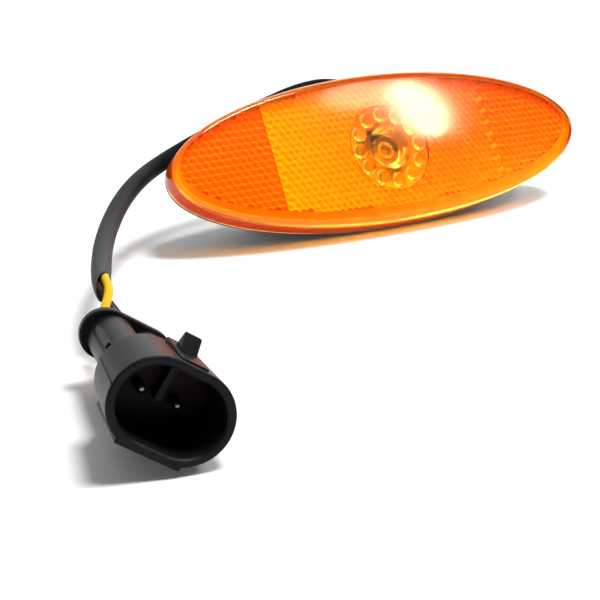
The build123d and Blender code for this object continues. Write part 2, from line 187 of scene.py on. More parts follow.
def add_piece(name, points, faces, material, sharp):
    """Puts a surface into a mesh, shades it smooth up to the sharp angle and rides it on the lamp."""
    mesh = bpy.data.meshes.new(name)
    mesh.from_pydata(points.tolist(), [], [list(face) for face in faces])
    mesh.validate()
    mesh.shade_smooth()
    mesh.set_sharp_from_angle(angle=np.radians(sharp))
    mesh.materials.append(material)
    piece = bpy.data.objects.new(name, mesh)
    bpy.context.scene.collection.objects.link(piece)
    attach(piece, "root")
    return piece


def capped(points, rows, columns, close_rows=False):
    """A tube of rows by columns, with a fan to a middle point at each end unless its rows close."""
    faces = grid_quads(rows, columns, close_rows).tolist()
    points = points.reshape(-1, 3)
    if close_rows:
        return points, faces
    ring = np.arange(columns)
    after = (ring + 1) % columns
    start, end = len(points), len(points) + 1
    middles = (points[:columns].mean(axis=0), points[-columns:].mean(axis=0))
    top = (rows - 1) * columns
    faces += np.stack((after, ring, np.full(columns, start)), axis=-1).tolist()
    faces += np.stack((top + ring, top + after, np.full(columns, end)), axis=-1).tolist()
    return np.vstack((points, middles)), faces


# finishes

ACRYLIC_IOR = 1.49
LENS_GLOSS_TINT = (1.0, 0.80, 0.45, 1.0)
# what is left of a light's rays behind the side wall and behind the crown
LIGHT_PAST_WALL = (0.02, 0.004, 0.001)
LIGHT_PAST_CROWN = (1.0, 0.78, 0.34)


def node_group(name, inputs, outputs):
    """An empty shader node group. Inputs are (name, socket type, default), outputs (name, socket type)."""
    group = bpy.data.node_groups.new(name, "ShaderNodeTree")
    for label, kind, default in inputs:
        group.interface.new_socket(label, in_out="INPUT", socket_type=kind).default_value = default
    for label, kind in outputs:
        group.interface.new_socket(label, in_out="OUTPUT", socket_type=kind)
    return group, group.nodes.new("NodeGroupInput"), group.nodes.new("NodeGroupOutput")


def math_node(tree, operation, first, second=None, third=None, clamp=False):
    """A Math node; each operand is a socket or a number."""
    node = tree.nodes.new("ShaderNodeMath")
    node.operation, node.use_clamp = operation, clamp
    for socket, value in zip(node.inputs, (first, second, third)):
        if isinstance(value, bpy.types.NodeSocket):
            tree.links.new(value, socket)
        elif value is not None:
            socket.default_value = value
    return node.outputs[0]


def stretched(tree, value, gain, offset):
    """A value times a gain plus an offset, kept between 0 and 1."""
    return math_node(tree, "MULTIPLY_ADD", value, gain, offset, clamp=True)


def noise_node(tree, vector, scale, detail, roughness):
    """The grey value of a noise, whose scale is a socket or a number."""
    node = tree.nodes.new("ShaderNodeTexNoise")
    node.inputs["Detail"].default_value = detail
    node.inputs["Roughness"].default_value = roughness
    tree.links.new(vector, node.inputs["Vector"])
    if isinstance(scale, bpy.types.NodeSocket):
        tree.links.new(scale, node.inputs["Scale"])
    else:
        node.inputs["Scale"].default_value = scale
    return node.outputs["Fac"]


def mix_colours(tree, factor, first, second):
    """Mixes two colours, each a socket or a value, by a factor socket."""
    node = tree.nodes.new("ShaderNodeMix")
    node.data_type = "RGBA"
    tree.links.new(factor, node.inputs[0])
    for socket, value in ((node.inputs[6], first), (node.inputs[7], second)):
        if isinstance(value, bpy.types.NodeSocket):
            tree.links.new(value, socket)
        else:
            socket.default_value = (*value, 1.0)
    return node.outputs[2]


def make_grain_group():
    """Moulded grain: a fine noise for the texture of the tool and a broad one for handling."""
    group, given, out = node_group(
        "moulded_grain",
        (("Vector", "NodeSocketVector", (0, 0, 0)), ("Grain Scale", "NodeSocketFloat", 2600.0),
         ("Colour", "NodeSocketColor", (0.03, 0.03, 0.03, 1)),
         ("Worn", "NodeSocketColor", (0.06, 0.06, 0.06, 1)),
         ("Roughness", "NodeSocketFloat", 0.5), ("Spread", "NodeSocketFloat", 0.12)),
        (("Colour", "NodeSocketColor"), ("Roughness", "NodeSocketFloat"), ("Height", "NodeSocketFloat")))
    fine = noise_node(group, given.outputs["Vector"], given.outputs["Grain Scale"], detail=2.0, roughness=0.5)
    broad = noise_node(group, given.outputs["Vector"], scale=140.0, detail=4.0, roughness=0.6)
    specks = stretched(group, fine, gain=2.4, offset=-0.9)
    handled = stretched(group, broad, gain=2.2, offset=-0.75)
    wear = math_node(group, "MULTIPLY", specks, handled)
    mixed = mix_colours(group, wear, given.outputs["Colour"], given.outputs["Worn"])
    group.links.new(mixed, out.inputs["Colour"])
    centred = math_node(group, "SUBTRACT", broad, 0.5)
    spread = math_node(group, "MULTIPLY_ADD", centred, given.outputs["Spread"], given.outputs["Roughness"])
    fine_centred = math_node(group, "SUBTRACT", fine, 0.5)
    speckled = stretched(group, fine_centred, gain=0.08, offset=spread)
    group.links.new(speckled, out.inputs["Roughness"])
    group.links.new(fine, out.inputs["Height"])
    return group


def make_film_group():
    """Handling film: faint broad patches that dull a glossy surface a little."""
    group, given, out = node_group(
        "handling_film",
        (("Vector", "NodeSocketVector", (0, 0, 0)), ("Low", "NodeSocketFloat", 0.03),
         ("High", "NodeSocketFloat", 0.10)),
        (("Roughness", "NodeSocketFloat"), ("Patches", "NodeSocketFloat")))
    patches = noise_node(group, given.outputs["Vector"], scale=90.0, detail=5.0, roughness=0.62)
    patches = stretched(group, patches, gain=2.6, offset=-0.95)
    span = math_node(group, "SUBTRACT", given.outputs["High"], given.outputs["Low"])
    dulled = math_node(group, "MULTIPLY_ADD", patches, span, given.outputs["Low"])
    group.links.new(dulled, out.inputs["Roughness"])
    group.links.new(patches, out.inputs["Patches"])
    return group


def shared_group(name, make):
    """The node group of that name, made at its first use."""
    return bpy.data.node_groups.get(name) or make()


def new_material(name):
    """A material with its Principled shader and an Object coordinate, ready for links."""
    material = bpy.data.materials.new(name)
    material.use_nodes = True
    tree = material.node_tree
    shader = tree.nodes["Principled BSDF"]
    place = tree.nodes.new("ShaderNodeTexCoord").outputs["Object"]
    return material, tree, shader, place


def use_group(tree, group, **values):
    """A group node with its inputs set; a label's underscores stand for spaces."""
    node = tree.nodes.new("ShaderNodeGroup")
    node.node_tree = group
    for label, value in values.items():
        socket = node.inputs[label.replace("_", " ")]
        if isinstance(value, bpy.types.NodeSocket):
            tree.links.new(value, socket)
        else:
            socket.default_value = (*value, 1.0) if socket.type == "RGBA" else value
    return node


def handling_film(tree, place, low, high):
    """The handling film with its roughness between a low and a high value."""
    group = shared_group("handling_film", make_film_group)
    return use_group(tree, group, Vector=place, Low=low, High=high)


def bump(tree, shader, height, distance):
    """Relief of a shader by a height socket."""
    node = tree.nodes.new("ShaderNodeBump")
    node.inputs["Distance"].default_value = distance
    tree.links.new(height, node.inputs["Height"])
    tree.links.new(node.outputs["Normal"], shader.inputs["Normal"])


def moulded(name, base, worn, roughness, spread=0.12, scale=2600.0, relief=0.00001, level=0.5,
            sheen_fade=None):
    """Moulded plastic or rubber: grain in its colour, roughness and relief.

    A sheen fade is a mask maker and the paler colour that the mask brings in; it stands partly for a painted
    sheen.
    """
    material, tree, shader, place = new_material(name)
    grain = use_group(
        tree, shared_group("moulded_grain", make_grain_group), Vector=place, Grain_Scale=scale,
        Colour=base, Worn=worn, Roughness=roughness, Spread=spread)
    tone = grain.outputs["Colour"]
    if sheen_fade:
        mask, paler = sheen_fade
        tone = mix_colours(tree, mask(tree, place), tone, paler)
    tree.links.new(tone, shader.inputs["Base Color"])
    tree.links.new(grain.outputs["Roughness"], shader.inputs["Roughness"])
    shader.inputs["Specular IOR Level"].default_value = level
    bump(tree, shader, grain.outputs["Height"], relief)
    return material


def flat_mask(tree, gain, offset):
    """Mask that is 1 on faces that lie across the lens axis and falls to 0 towards its side wall."""
    facing = tree.nodes.new("ShaderNodeVectorMath")
    facing.operation = "DOT_PRODUCT"
    tree.links.new(tree.nodes.new("ShaderNodeNewGeometry").outputs["True Normal"], facing.inputs[0])
    facing.inputs[1].default_value = LAMP_Z
    return stretched(tree, math_node(tree, "ABSOLUTE", facing.outputs["Value"]), gain, offset)


def lens_finish():
    """Clear amber acrylic, polished, with a deeper tint on its side wall where the acrylic is thick and a
    darker one that is painted shade. Its crown lets light through to the prisms.
    """
    material, tree, shader, place = new_material("amber_acrylic_clear")
    film = handling_film(tree, place, low=0.09, high=0.14)
    tree.links.new(film.outputs["Roughness"], shader.inputs["Roughness"])
    flat, crown = flat_mask(tree, gain=1.6, offset=-0.45), flat_mask(tree, gain=5.0, offset=-3.9)
    # partly painted shade: the side wall takes a deeper, darker tint than the crown
    tint_with_wall_shade = mix_colours(tree, flat, tuple(colours().lens_wall), tuple(colours().lens))
    tree.links.new(tint_with_wall_shade, shader.inputs["Base Color"])
    shader.inputs["Transmission Weight"].default_value = 1.0
    shader.inputs["IOR"].default_value = ACRYLIC_IOR
    shader.inputs["Specular Tint"].default_value = LENS_GLOSS_TINT
    through = tree.nodes.new("ShaderNodeBsdfTransparent")
    tree.links.new(mix_colours(tree, crown, LIGHT_PAST_WALL, LIGHT_PAST_CROWN), through.inputs["Color"])
    mix = tree.nodes.new("ShaderNodeMixShader")
    tree.links.new(tree.nodes.new("ShaderNodeLightPath").outputs["Is Shadow Ray"], mix.inputs["Fac"])
    tree.links.new(shader.outputs["BSDF"], mix.inputs[1])
    tree.links.new(through.outputs["BSDF"], mix.inputs[2])
    tree.links.new(mix.outputs["Shader"], tree.nodes["Material Output"].inputs["Surface"])
    return material


def amber_finish(name, first, second, mask):
    """Glossy amber that goes from the first colour to the second by a mask, with fine mottle; the two colours
    are lit and shaded tones, so the mask paints light and shade.
    """
    material, tree, shader, place = new_material(name)
    mottle = noise_node(tree, place, scale=420.0, detail=3.0, roughness=0.6)
    mottle = math_node(tree, "SUBTRACT", mottle, 0.5)
    mottled_light_drift = stretched(tree, mottle, gain=0.5, offset=mask(tree, place))
    tree.links.new(mix_colours(tree, mottled_light_drift, first, second), shader.inputs["Base Color"])
    film = handling_film(tree, place, low=0.30, high=0.45)
    tree.links.new(film.outputs["Roughness"], shader.inputs["Roughness"])
    return material


def dimmed(base, share):
    """A share of a colour."""
    return tuple(share * value for value in base)


def rise(axis, start, span):
    """Maker of a mask that rises from 0 to 1 along an axis, from its start over its span, either way."""

    def mask(tree, place):
        axes = tree.nodes.new("ShaderNodeSeparateXYZ")
        tree.links.new(place, axes.inputs["Vector"])
        return stretched(tree, axes.outputs[axis], 1 / span, -start / span)

    return mask


# lens

RING_COLUMNS = 240
FILLET = 0.2 * MM

# the optic: pillows in a ring, and a cone with a dimple in the middle
PILLOW_COUNT = 12
PILLOW_RING = 8.2 * MM
PILLOW_RADIUS = 2.05 * MM
PILLOW_DEPTH = 1.2 * MM
CONE_RADIUS = 5.4 * MM
CONE_RUN = 2.0 * MM
CONE_DEPTH = 3.6 * MM
DIMPLE_RADIUS = 2.0 * MM
OPTIC_SINK = 0.5 * MM
# its rings, in runs from the pillows to the cone, its brim and its dimple
OPTIC_RINGS = np.concatenate((
    np.linspace(10.35, 5.5, 44),
    np.linspace(5.38, 3.42, 8),
    np.linspace(3.2, 2.1, 3),
    np.linspace(1.99, 0.1, 9),
)) * MM


def ring_angles():
    """The angles of the columns around an oval ring."""
    return np.arange(RING_COLUMNS) * 2 * np.pi / RING_COLUMNS


def crown_height(x, y):
    """Crown: a circle arc across the lens, carried round a far circle along it."""
    s = sizes()
    sag = s.crown_cross - np.sqrt(s.crown_cross**2 - y**2)
    return s.lens_top - s.crown_long + np.sqrt((s.crown_long - sag) ** 2 - x**2)


def optic_drop(radius, angle):
    """How far the round optic hangs: spherical pillows in a ring, and a dimpled cone in the middle."""
    step = 2 * np.pi / PILLOW_COUNT
    fold = (angle + step / 2) % step - step / 2
    away = radius**2 + PILLOW_RING**2 - 2 * radius * PILLOW_RING * np.cos(fold)
    pillow = np.sqrt(np.clip(PILLOW_RADIUS**2 - away, 0, None)) - (PILLOW_RADIUS - PILLOW_DEPTH)
    cone = CONE_DEPTH * np.clip((CONE_RADIUS - radius) / CONE_RUN, 0, 1)
    dimple = np.sqrt(np.clip(DIMPLE_RADIUS**2 - radius**2, 0, None))
    return np.maximum(np.clip(pillow, 0, None), cone - dimple)


def lens_surface():
    """Closed oval shell of oval rings: out over the crown, down the wall and back under the ceiling.

    A row's ring is (a cos t, b sin t). On the crown its height is the crown's, less the edge round;
    the ceiling blends the inner oval into the optic's circle; the optic is a height over a polar grid.
    """
    s = sizes()
    half_l, half_w = s.lens_length / 2, s.lens_width / 2
    crown_rows, edge_rows, ceiling_rows = 22, 8, 12
    angle = ring_angles()
    cos, sin = np.cos(angle), np.sin(angle)

    def ring(inset):
        return (half_l - inset) * cos, (half_w - inset) * sin

    def level(height):
        return np.full(RING_COLUMNS, height)

    rows = []
    for share in np.linspace(0.04, 1.0, crown_rows):
        x, y = (half_l - s.edge_radius) * share * cos, (half_w - s.edge_radius) * share * sin
        rows.append((x, y, crown_height(x, y)))
    for turn in np.radians(np.linspace(12, 90, edge_rows)):
        x, y = ring(s.edge_radius * (1 - np.sin(turn)))
        rows.append((x, y, crown_height(x, y) - s.edge_radius * (1 - np.cos(turn))))
    low_edge = rows[-1][2]
    for share in (0.5, 0.93):
        x, y = ring(0)
        rows.append((x, y, low_edge + (s.lens_foot - low_edge) * share))
    for inset, lift in ((FILLET / 2, 0.0), (s.lens_wall - FILLET / 2, 0.0), (s.lens_wall, FILLET)):
        rows.append((*ring(inset), level(s.lens_foot + lift)))
    for inset, drop in ((0.0, 3 * FILLET), (FILLET, FILLET), (FILLET, 0.0)):
        rows.append((*ring(s.lens_wall + inset), level(s.ceiling - drop)))
    inner_x, inner_y = ring(s.lens_wall + 2 * FILLET)
    rim_x, rim_y = s.optic_radius * cos, s.optic_radius * sin
    for share in np.linspace(0, 1, ceiling_rows):
        x, y = inner_x * (1 - share) + rim_x * share, inner_y * (1 - share) + rim_y * share
        rows.append((x, y, level(s.ceiling)))
    face = s.ceiling - OPTIC_SINK
    for radius in OPTIC_RINGS:
        rows.append((radius * cos, radius * sin, face - optic_drop(radius, angle)))
    surface = np.array(rows).transpose(0, 2, 1)
    return in_lamp(surface), len(rows), RING_COLUMNS


class LAMP_OT_lens(bpy.types.Operator):
    """Makes the clear amber lens with its crown, wall and round optic"""

    bl_idname = "lamp.lens"
    bl_label = "Lens"

    def execute(self, context):
        surface, rows, columns = lens_surface()
        points, faces = capped(surface, rows, columns)
        faces = [face[::-1] for face in faces]
        lens = add_piece("amber_lens", points, faces, lens_finish(), sharp=28.0)
        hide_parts("lens")
        return {"FINISHED"}


# reflex prisms

# sheets of prisms: how they lie under the ceiling, what they keep clear of seams and optic,
# the share of a pitch that is drawn onto a seam, the grid on which shared corners meet,
# and how deep every second corner lies as a share of the prism's depth
PRISM_TOP_GAP = 0.05 * MM
PRISM_SHEET = 1.0 * MM
SEAM_GAP = 0.1 * MM
SEAM_SNAP = 0.6
OPTIC_GAP = 0.2 * MM
CORNER_GRID = 0.01 * MM
CORNER_DEPTH = 0.45

# tray and light cup; a hair is the smallest clearance
HAIR = 0.01 * MM
TRAY_SKIN = 0.08 * MM
TRAY_FLOOR_DROP = 1.1 * MM
TRAY_RIM_DROP = 0.06 * MM
TRAY_FOOT_DROP = 0.02 * MM
CUP_TOP_DROP = 1.3 * MM
CUP_TUBE_RADIUS = 6.9 * MM
CUP_THROAT = 1.4 * MM
CUP_END = -2.3 * MM


def prism_field(low_x, high_x, flip):
    """Honeycomb of corner prisms between two seams, as a closed sheet with a flat back.

    Cell centres lie on a triangular lattice. Around each cell the corners rise and fall in turn, and the
    middle is the deepest, so three rhombs meet there. Points past the field's oval, a seam or the optic's
    circle are drawn onto it. Corners that cells share are merged, and free edges get a wall to the back.
    """
    s = sizes()
    pitch, top = s.prism_pitch, s.ceiling - PRISM_TOP_GAP
    back = top - PRISM_SHEET
    half_l, half_w = s.lens_length / 2 - s.border, s.lens_width / 2 - s.border
    across, along = int(half_w / pitch) + 2, int(half_l / pitch) + 2
    j, i = np.meshgrid(np.arange(-across, across + 1), np.arange(-along, along + 1), indexing="ij")
    centres = np.stack(((i + 0.5 * (j % 2)) * pitch, j * pitch * np.sqrt(0.75)), axis=-1).reshape(-1, 2)
    reach = (centres[:, 0] / half_l) ** 2 + ((centres[:, 1] - s.field_shift) / half_w) ** 2
    keep = (reach < 1.0) & (centres[:, 0] > low_x) & (centres[:, 0] < high_x)
    keep &= np.hypot(centres[:, 0], centres[:, 1]) > s.optic_radius
    centres = centres[keep]
    turn = np.radians(30 + 60 * np.arange(6))
    corners = centres[:, None] + pitch / np.sqrt(3) * np.stack((np.cos(turn), np.sin(turn)), axis=-1)
    raised = np.broadcast_to((np.arange(6) + flip) % 2, corners.shape[:2])
    flat = np.round(corners.reshape(-1, 2) / CORNER_GRID).astype(int)
    unique, first, place = np.unique(flat, axis=0, return_index=True, return_inverse=True)
    place = place.reshape(-1, 6)
    rim = unique * CORNER_GRID
    depth = np.where(raised.reshape(-1)[first] == 1, 0.0, CORNER_DEPTH) * s.prism_depth

    def drawn_in(points, snap):
        x, y = points[:, 0], points[:, 1] - s.field_shift
        x = np.where(x < low_x + snap, low_x, np.where(x > high_x - snap, high_x, x))
        out = np.sqrt((x / half_l) ** 2 + (y / half_w) ** 2)
        oval_y = half_w * np.sqrt(np.clip(1 - (x / half_l) ** 2, 0, None))
        y = np.where(out > 1, np.sign(y) * oval_y, y) + s.field_shift
        x = np.clip(x, -half_l, half_l)
        far = np.maximum(np.hypot(x, y), 1e-6)
        push = np.maximum(1.0, (s.optic_radius + OPTIC_GAP) / far)
        return np.stack((x * push, y * push), axis=-1)

    rim, middle = drawn_in(rim, SEAM_SNAP * pitch), drawn_in(centres, 0.0)
    count = len(rim)
    points = np.vstack((
        np.column_stack((rim, top - depth)),
        np.column_stack((middle, np.full(len(middle), top - s.prism_depth))),
        np.column_stack((rim, np.full(count, back)))))
    low = count + np.arange(len(middle))
    faces = []
    for k in range(0 if flip else 1, 6, 2):
        rhomb = (low, place[:, (k - 1) % 6], place[:, k], place[:, (k + 1) % 6])
        faces += np.stack(rhomb, axis=-1).tolist()
    below = count + len(middle)
    faces += (below + place)[:, ::-1].tolist()
    edges = np.stack((place, np.roll(place, -1, axis=1)), axis=-1).reshape(-1, 2)
    ordered = np.sort(edges, axis=1)
    _, inverse, uses = np.unique(ordered, axis=0, return_inverse=True, return_counts=True)
    free = edges[uses[inverse.reshape(-1)] == 1]
    start, end = free.T
    faces += np.stack((end, start, start + below, end + below), axis=-1).tolist()
    return in_lamp(points), faces


def ringed(stations):
    """A loop of oval rings, each given by its half axes, height and shift across the lens.

    A ring's points are (a cos t, b sin t + shift, height) in the lamp frame.
    """
    angle = ring_angles()
    a, b, height, shift = (np.array(column)[:, None] for column in zip(*stations))
    flat = np.broadcast_to(height, (len(stations), RING_COLUMNS))
    points = np.stack((a * np.cos(angle), b * np.sin(angle) + shift, flat), axis=-1)
    return in_lamp(points), len(stations), RING_COLUMNS


def tray_surface():
    """Backing of the prisms: a loop of oval rings, over floor, rim, skirt and foot and back below them."""
    s = sizes()
    half_l, half_w = s.lens_length / 2, s.lens_width / 2
    floor, rim = s.ceiling - TRAY_FLOOR_DROP, s.ceiling - TRAY_RIM_DROP
    foot, wall = s.lens_foot - TRAY_FOOT_DROP, s.lens_wall
    lip = s.border - 4 * HAIR
    above = (
        (s.border, floor, s.field_shift),
        (lip, rim, s.field_shift),
        (wall + 5 * HAIR, rim, 0),
        (wall + 3 * HAIR, foot + TRAY_SKIN, 0),
        (wall + HAIR, foot, 0),
        (10 * HAIR, foot, 0),
    )
    below = (
        (10 * HAIR, foot - TRAY_SKIN, 0),
        (wall + 10 * HAIR, foot - TRAY_SKIN, 0),
        (wall + 10 * HAIR, rim - TRAY_SKIN, 0),
        (lip - TRAY_SKIN, rim - TRAY_SKIN, s.field_shift),
        (s.border + TRAY_SKIN, floor - TRAY_SKIN, s.field_shift),
    )
    hole = s.optic_radius + 10 * HAIR
    stations = [(half_l - inset, half_w - inset, height, shift) for inset, height, shift in above + below]
    return ringed([(hole, hole, floor, 0), *stations, (hole, hole, floor - TRAY_SKIN, 0)])


def cup_surface():
    """Light cup under the optic: a flared ring that narrows into a short tube over the light sources."""
    s = sizes()
    line = (
        (s.optic_radius, s.ceiling - CUP_TOP_DROP),
        (CUP_TUBE_RADIUS, CUP_THROAT),
        (CUP_TUBE_RADIUS, CUP_END),
    )
    inside = [(radius, radius, height, 0) for radius, height in line]
    outside = [(radius + TRAY_SKIN, radius + TRAY_SKIN, height, 0) for radius, height in line[::-1]]
    return ringed((inside + outside)[::-1])


class LAMP_OT_reflex(bpy.types.Operator):
    """Makes the three zones of reflex prisms, the tray that backs them and the light cup"""

    bl_idname = "lamp.reflex"
    bl_label = "Reflex prisms"

    def execute(self, context):
        s, c = sizes(), colours()
        painted_light_along_lens, shade_up_lens = rise("X", -0.033, 0.050), rise("Z", 0.010, 0.016)
        # painted light and shade: the middle zone is painted lit and bright, the outer zones shaded and deep,
        # and each zone turns deeper along the lens
        deep = amber_finish("amber_prisms_shaded_deep", c.prism_shaded_deep, dimmed(c.prism_shaded_deep, 0.9), painted_light_along_lens)
        bright = amber_finish("amber_prisms_lit_bright", c.prism_lit_bright, c.prism_shaded_deep, painted_light_along_lens)
        zones = (
            ("reflex_prisms_left", -s.lens_length, -s.seam_x - SEAM_GAP, 1, deep),
            ("reflex_prisms_middle", -s.seam_x + SEAM_GAP, s.seam_x - SEAM_GAP, 0, bright),
            ("reflex_prisms_right", s.seam_x + SEAM_GAP, s.lens_length, 1, deep))
        for name, low, high, flip, finish in zones:
            points, faces = prism_field(low, high, flip)
            add_piece(name, points, faces, finish, sharp=8.0)
        # painted shade: the backing turns darker and redder down the lens and lighter up it
        backing = amber_finish("amber_backing_painted_shade", c.backing_low_shaded, c.backing_high_lit, shade_up_lens)
        # painted light: the cup takes the lit prism tone, a little darker along the lens
        cup = amber_finish("amber_cup_painted_light", c.prism_lit_bright, dimmed(c.prism_lit_bright, 0.9), painted_light_along_lens)
        loops = (("reflex_tray", tray_surface(), backing), ("light_cup", cup_surface(), cup))
        for name, loop, finish in loops:
            points, faces = capped(*loop, close_rows=True)
            add_piece(name, points, [face[::-1] for face in faces], finish, sharp=30.0)
        return {"FINISHED"}


# cord

SLEEVE_COLUMNS = 28
WIRE_COLUMNS = 20

# the sleeve's open end: how steep its cut is, over what length it sets in, and its long side
CUT_SLANT = 1.5
CUT_REACH = 8.0 * MM
CUT_LOW_SIDE = np.array((-0.75, 0.1, -0.65))


def spline_points(control):
    """Points along the route's own NURBS spline, and how far along it each one is."""
    curve = bpy.data.curves.new("pair_route", "CURVE")
    curve.dimensions = "3D"
    curve.resolution_u = 24
    spline = curve.splines.new("NURBS")
    spline.points.add(len(control) - 1)
    spline.points.foreach_set("co", np.column_stack((control, np.ones(len(control)))).ravel())
    spline.order_u = 3
    spline.use_endpoint_u = True
    holder = bpy.data.objects.new("pair_route", curve)
    mesh = bpy.data.meshes.new_from_object(holder)
    points = np.empty(len(mesh.vertices) * 3)
    mesh.vertices.foreach_get("co", points)
    points = points.reshape(-1, 3)
    bpy.data.objects.remove(holder)
    bpy.data.curves.remove(curve)
    bpy.data.meshes.remove(mesh)
    steps = np.linalg.norm(np.diff(points, axis=0), axis=1)
    return points, np.concatenate(((0.0,), np.cumsum(steps)))


def across_frame(points):
    """Unit tangents of a line and two normals to each, the first leaning to a fixed direction."""
    tangent = np.gradient(points, axis=0)
    tangent /= np.linalg.norm(tangent, axis=1, keepdims=True)
    lean = LAMP_AXES[0] + LAMP_AXES[1]
    side = lean - (tangent @ lean)[:, None] * tangent
    side /= np.linalg.norm(side, axis=1, keepdims=True)
    return tangent, side, np.cross(tangent, side)


def tube_surface(points, radius, columns):
    """A circle of the given radius carried along a line: middle + r (cos t side + sin t over)."""
    _, side, over = across_frame(points)
    angle = (np.arange(columns) * 2 * np.pi / columns)[None, :, None]
    ring = np.cos(angle) * side[:, None] + np.sin(angle) * over[:, None]
    return points[:, None] + radius * ring


def cut_on_the_slant(rings, line):
    """Slides the last rings along the line in step with how far each point lies to the low side."""
    tangent = across_frame(line)[0][-1]
    low = CUT_LOW_SIDE - (CUT_LOW_SIDE @ tangent) * tangent
    left = np.linalg.norm(np.diff(line, axis=0), axis=1)[::-1].cumsum()[::-1]
    share = np.clip(1 - np.append(left, 0.0) / CUT_REACH, 0, 1) ** 2
    aside = (rings - line[:, None]) @ (low / np.linalg.norm(low))
    return rings + (CUT_SLANT * share[:, None] * aside)[..., None] * tangent


def nearest(points, target):
    """Index of the point that lies nearest to a target."""
    return int(np.argmin(np.linalg.norm(points - target, axis=1)))


def insulation(name, base, worn):
    """Satin insulation of a wire."""
    return moulded(name, base, worn, 0.36, spread=0.10, scale=1400.0, relief=0.000004, level=0.15)


def sleeve_wall(line, diameter):
    """One side of the sleeve's wall, with its slanted end."""
    return cut_on_the_slant(tube_surface(line, diameter / 2, SLEEVE_COLUMNS), line)


class LAMP_OT_cord(bpy.types.Operator):
    """Makes the sleeve and the two wires that run through it to the connector"""

    bl_idname = "lamp.cord"
    bl_label = "Cord"

    def execute(self, context):
        s, c = sizes(), colours()
        middle, along = spline_points(PAIR_ROUTE)
        first, last = nearest(middle, SLEEVE_START), nearest(middle, SLEEVE_END)
        sleeve_line = middle[first:last + 1]
        outer = sleeve_wall(sleeve_line, s.sleeve_outside)
        inner = sleeve_wall(sleeve_line, s.sleeve_inside)[::-1]
        points, faces = capped(
            np.concatenate((outer, inner)), 2 * len(sleeve_line), SLEEVE_COLUMNS, close_rows=True)
        # partly painted sheen: the sleeve turns from near black by the lamp to a paler grey towards its cut
        # end, where a highlight lies
        sheen_to_cut_end = rise("Y", -0.006, -0.040)
        finish = moulded(
            "sleeve_pvc_satin", c.sleeve, (0.014, 0.0145, 0.017), 0.40, spread=0.14, scale=900.0,
            relief=0.000006, level=0.02, sheen_fade=(sheen_to_cut_end, c.sleeve_end_sheen))
        sleeve = add_piece("cable_sleeve_tube", points, faces, finish, sharp=50.0)
        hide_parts("cable_sleeve")

        # past the sleeve the wires part to the connector's two ways, eased at both ends
        entry = nearest(middle, WAY_ENTRY)
        share = np.clip((along - along[last]) / (along[entry] - along[last]), 0, 1)
        share = (share**2 * (3 - 2 * share))[:, None]
        _, side, _ = across_frame(middle)
        apart = (1 - share) * s.wire_offset * side - share * s.way_offset * PLUG_X
        wires = (
            ("yellow_wire", 1, insulation("yellow_insulation_satin", c.yellow, (0.92, 0.60, 0.06))),
            ("brown_wire", -1, insulation("brown_insulation_satin", c.brown, (0.24, 0.12, 0.06))))
        for name, sign, finish in wires:
            line = middle + sign * apart
            points, faces = capped(tube_surface(line, s.wire / 2, WIRE_COLUMNS), len(line), WIRE_COLUMNS)
            wire = add_piece(name + "_tube", points, faces, finish, sharp=50.0)
            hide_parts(name)
        return {"FINISHED"}


# fittings that keep their CAD shape

WORN_BLACK = (0.05, 0.05, 0.05)


def dress(names, material):
    """Gives CAD nodes a finish, by their own material slots."""
    for name in names:
        slots = frame["nodes"][name].data.materials
        slots.clear()
        slots.append(material)


def metal(name, base, roughness):
    """Plated metal, darker and duller in patches."""
    material, tree, shader, place = new_material(name)
    film = handling_film(tree, place, low=roughness, high=roughness + 0.15)
    tree.links.new(film.outputs["Roughness"], shader.inputs["Roughness"])
    shade = mix_colours(tree, film.outputs["Patches"], base, dimmed(base, 0.8))
    tree.links.new(shade, shader.inputs["Base Color"])
    shader.inputs["Metallic"].default_value = 1.0
    return material


class LAMP_OT_fittings(bpy.types.Operator):
    """Finishes the housing, the grommet and the circuit board with its parts"""

    bl_idname = "lamp.fittings"
    bl_label = "Housing and board"

    def execute(self, context):
        c = colours()
        dress(("housing",), moulded("black_housing_moulded", c.plastic, (0.055, 0.055, 0.055), 0.48))
        dress(("cable_grommet",), moulded("grommet_rubber_matte", c.rubber, WORN_BLACK, 0.66))
        dress(("circuit_board",),
              moulded("board_solder_mask", c.board, (0.62, 0.62, 0.58), 0.35, spread=0.1, scale=700.0))
        dress(("led_left", "led_centre", "led_right"),
              moulded("led_package_moulded", (0.85, 0.70, 0.22), (0.95, 0.85, 0.45), 0.22,
                      spread=0.05, scale=2000.0))
        dress(("resistor_left", "resistor_right"),
              moulded("chip_glaze", (0.02, 0.02, 0.022), WORN_BLACK, 0.25, spread=0.08))
        dress(("capacitor",), moulded("chip_ceramic", (0.42, 0.31, 0.20), (0.5, 0.4, 0.28), 0.5))
        dress(("rectifier_diode", "surge_suppressor"),
              moulded("diode_moulded", (0.02, 0.02, 0.02), WORN_BLACK, 0.55))
        return {"FINISHED"}


class LAMP_OT_connector(bpy.types.Operator):
    """Finishes the connector's moulding, retainer, pins and seals"""

    bl_idname = "lamp.connector"
    bl_label = "Connector"

    def execute(self, context):
        c = colours()
        dress(("connector_housing",),
              moulded("connector_black_moulded", c.plastic, (0.018, 0.018, 0.019), 0.38,
                      scale=3200.0, relief=0.000004, level=0.11))
        dress(("pin_retainer",),
              # partly painted shade: the retainer and pins are darkened for the shade deep in the connector's
              # mouth
              moulded("retainer_brown_moulded", c.retainer, (0.03, 0.010, 0.007), 0.50, level=0.10))
        dress(("pin_left", "pin_right"), metal("tinned_pin_plate", c.tin, 0.18))
        dress(("wire_seal_left", "wire_seal_right"),
              moulded("seal_rubber_matte", c.rubber, WORN_BLACK, 0.62))
        return {"FINISHED"}


# stage

